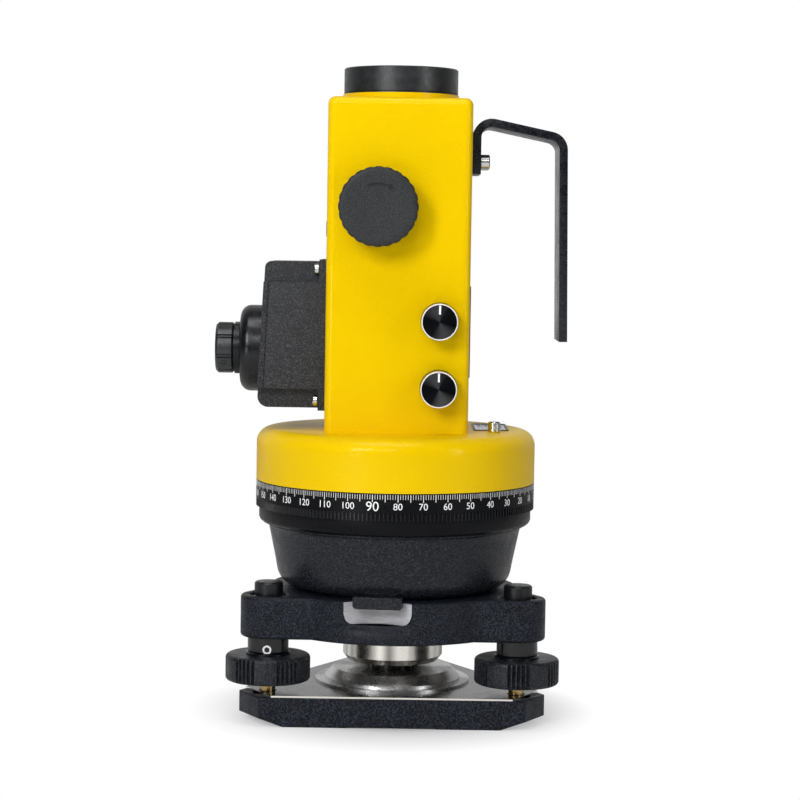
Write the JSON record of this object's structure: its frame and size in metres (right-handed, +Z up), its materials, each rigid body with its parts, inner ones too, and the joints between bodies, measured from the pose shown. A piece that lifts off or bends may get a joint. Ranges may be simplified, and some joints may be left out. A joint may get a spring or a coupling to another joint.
{
  "type": "laser plummet on a levelling tribrach",
  "caption": "Vertical plumbing instrument: telescope column with eyepiece, focusing knob and carrying strap on a degree circle, clamped in a levelling tribrach.",
  "frame": {"origin": "centre of the base plate's underside, on the plumb axis, at the mouth of the tripod thread", "axes": "+Z up along the plumb axis; the front with the focusing knob faces -Y; the eyepiece is on the -X side and the strap on the +X side"},
  "size_m": [0.1662, 0.1534, 0.3063],
  "materials": {
    "black_casting": "fine textured black paint",
    "black_plastic": "sandy matte",
    "black_anodised": "black anodised, satin",
    "black_bowl": "black, satin",
    "black_rubber": "matte",
    "yellow_paint": "fine orange-peel enamel",
    "steel": "turned",
    "brass": "turned",
    "aluminium": "machined",
    "optical_glass": "coated",
    "vial_glass": "liquid filled",
    "circuit_board": "solder mask",
    "cell_sleeve": "printed film, blank"
  },
  "bodies": {
    "base": {"base_plate": "black_casting", "spring_plate": "steel", "base_flange": "steel", "flange_screws": "steel", "back_foot_ball": "steel"},
    "front_feet": {"front_foot_balls": "steel"},
    "tribrach": {"tribrach_body": "black_casting", "centering_hub": "steel", "foot_bushes": "brass", "foot_caps": "black_plastic", "level_vial_case": "black_anodised", "level_vial": "vial_glass"},
    "clamp": {"clamp_ring": "steel"},
    "lock": {"lock_lever": "black_anodised"},
    "lower_base": {"base_bowl": "black_bowl", "base_studs": "steel", "axis_sleeve": "brass"},
    "circle": {"degree_circle": "black_anodised"},
    "alidade": {"turntable": "yellow_paint", "column_housing": "yellow_paint", "back_cover": "yellow_paint", "back_cover_screws": "steel", "axis_spindle": "steel", "telescope_tube": "black_anodised", "objective_cell": "black_anodised", "objective_lens": "optical_glass", "prism_block": "optical_glass", "reticle": "optical_glass", "laser_modules": "brass", "control_board": "circuit_board", "potentiometers": "aluminium", "eyepiece_case": "black_plastic", "eyepiece_screws": "steel", "eyepiece_boss": "black_anodised", "battery_box": "black_plastic", "batteries": "cell_sleeve", "handle": "black_casting", "handle_screws": "steel", "handle_pad": "black_rubber", "plate_vial": "vial_glass", "level_screw": "steel", "side_plug": "black_plastic"},
    "focus_control": {"focus_knob": "black_plastic", "focus_shaft": "steel"},
    "focus_slide": {"focus_cell": "aluminium", "focus_lens": "optical_glass"},
    "eyepiece_slide": {"eyepiece_cell": "black_anodised"},
    "eyepiece_turner": {"eyepiece_knob": "black_anodised"},
    "power_upper": {"power_knob_upper": "black_anodised"},
    "power_lower": {"power_knob_lower": "black_anodised"},
    "door": {"battery_door": "black_plastic"},
    "foot_pin_left": {"foot_pin_left": "brass"},
    "foot_screw_left": {"foot_knob_left": "black_anodised", "foot_grub_left": "steel"},
    "foot_pin_right": {"foot_pin_right": "brass"},
    "foot_screw_right": {"foot_knob_right": "black_anodised", "foot_grub_right": "steel"},
    "foot_pin_back": {"foot_pin_back": "brass"},
    "foot_screw_back": {"foot_knob_back": "black_anodised", "foot_grub_back": "steel"}
  },
  "joints": [
    {"name": "tilt_fore", "type": "hinge", "parent": "base", "child": "front_feet", "pos_m": [0, -0.03357, 0.011], "axis": [1, 0, 0], "range_deg": [-1.71, 1.71]},
    {"name": "tilt_cross", "type": "hinge", "parent": "front_feet", "child": "tribrach", "pos_m": [0, -0.03357, 0.011], "axis": [0, 1, 0], "range_deg": [-2.96, 2.96]},
    {"name": "foot_left_travel", "type": "slide", "parent": "tribrach", "child": "foot_pin_left", "axis": [0, 0, 1], "range_m": [-0.003, 0.003]},
    {"name": "foot_left_turn", "type": "hinge", "parent": "foot_pin_left", "child": "foot_screw_left", "pos_m": [-0.05815, -0.03357, 0.026], "axis": [0, 0, 1], "range_deg": [-1440, 1440]},
    {"name": "foot_right_travel", "type": "slide", "parent": "tribrach", "child": "foot_pin_right", "axis": [0, 0, 1], "range_m": [-0.00301, 0.00301]},
    {"name": "foot_right_turn", "type": "hinge", "parent": "foot_pin_right", "child": "foot_screw_right", "pos_m": [0.05815, -0.03357, 0.026], "axis": [0, 0, 1], "range_deg": [-1440, 1440]},
    {"name": "foot_back_travel", "type": "slide", "parent": "tribrach", "child": "foot_pin_back", "axis": [0, 0, 1], "range_m": [-0.003, 0.003]},
    {"name": "foot_back_turn", "type": "hinge", "parent": "foot_pin_back", "child": "foot_screw_back", "pos_m": [0, 0.06714, 0.026], "axis": [0, 0, 1], "range_deg": [-1440, 1440]},
    {"name": "clamp_turn", "type": "hinge", "parent": "tribrach", "child": "clamp", "pos_m": [0, 0, 0.0481], "axis": [0, 0, 1], "range_deg": [0, 6.8]},
    {"name": "lock_turn", "type": "hinge", "parent": "tribrach", "child": "lock", "pos_m": [-0.04596, 0.03857, 0.0481], "axis": [-0.766, 0.6428, 0], "range_deg": [0, 180]},
    {"name": "instrument_lift", "type": "slide", "parent": "tribrach", "child": "lower_base", "axis": [0, 0, 1], "range_m": [0, 0.04]},
    {"name": "circle_turn", "type": "hinge", "parent": "lower_base", "child": "circle", "pos_m": [0, 0, 0.1], "axis": [0, 0, 1], "continuous": true},
    {"name": "alidade_turn", "type": "hinge", "parent": "lower_base", "child": "alidade", "pos_m": [0, 0, 0.12], "axis": [0, 0, 1], "continuous": true},
    {"name": "focus_turn", "type": "hinge", "parent": "alidade", "child": "focus_control", "pos_m": [-0.0095, -0.045, 0.2407], "axis": [0, 1, 0], "range_deg": [-150, 150]},
    {"name": "focus_travel", "type": "slide", "parent": "alidade", "child": "focus_slide", "axis": [0, 0, 1], "range_m": [-0.0119, 0.0119]},
    {"name": "eyepiece_travel", "type": "slide", "parent": "alidade", "child": "eyepiece_slide", "axis": [-1, 0, 0], "range_m": [0, 0.003]},
    {"name": "eyepiece_turn", "type": "hinge", "parent": "eyepiece_slide", "child": "eyepiece_turner", "pos_m": [-0.082, 0, 0.1733], "axis": [-1, 0, 0], "range_deg": [0, 540]},
    {"name": "power_upper_turn", "type": "hinge", "parent": "alidade", "child": "power_upper", "pos_m": [0.0194, -0.04, 0.1884], "axis": [0, 1, 0], "range_deg": [-150, 150]},
    {"name": "power_lower_turn", "type": "hinge", "parent": "alidade", "child": "power_lower", "pos_m": [0.0194, -0.04, 0.1573], "axis": [0, 1, 0], "range_deg": [-150, 150]},
    {"name": "battery_door_swing", "type": "hinge", "parent": "alidade", "child": "door", "pos_m": [0.033, 0, 0.1623], "axis": [0, 1, 0], "range_deg": [0, 95]}
  ],
  "couplings": [
    {"joint": "foot_back_turn", "follows": "foot_back_travel", "rad_per_m": 8377.6},
    {"joint": "tilt_fore", "follows": "foot_back_travel", "rad_per_m": -9.9295},
    {"joint": "foot_left_turn", "follows": "foot_left_travel", "rad_per_m": 8377.6},
    {"joint": "tilt_cross", "follows": "foot_left_travel", "rad_per_m": -17.198},
    {"joint": "foot_right_travel", "follows": "foot_left_travel", "ratio": -1},
    {"joint": "foot_right_turn", "follows": "foot_left_travel", "rad_per_m": -8377.6},
    {"joint": "clamp_turn", "follows": "lock_turn", "ratio": 0.037625},
    {"joint": "focus_travel", "follows": "focus_turn", "m_per_rad": -0.0045},
    {"joint": "eyepiece_turn", "follows": "eyepiece_travel", "rad_per_m": 3141.6}
  ]
}
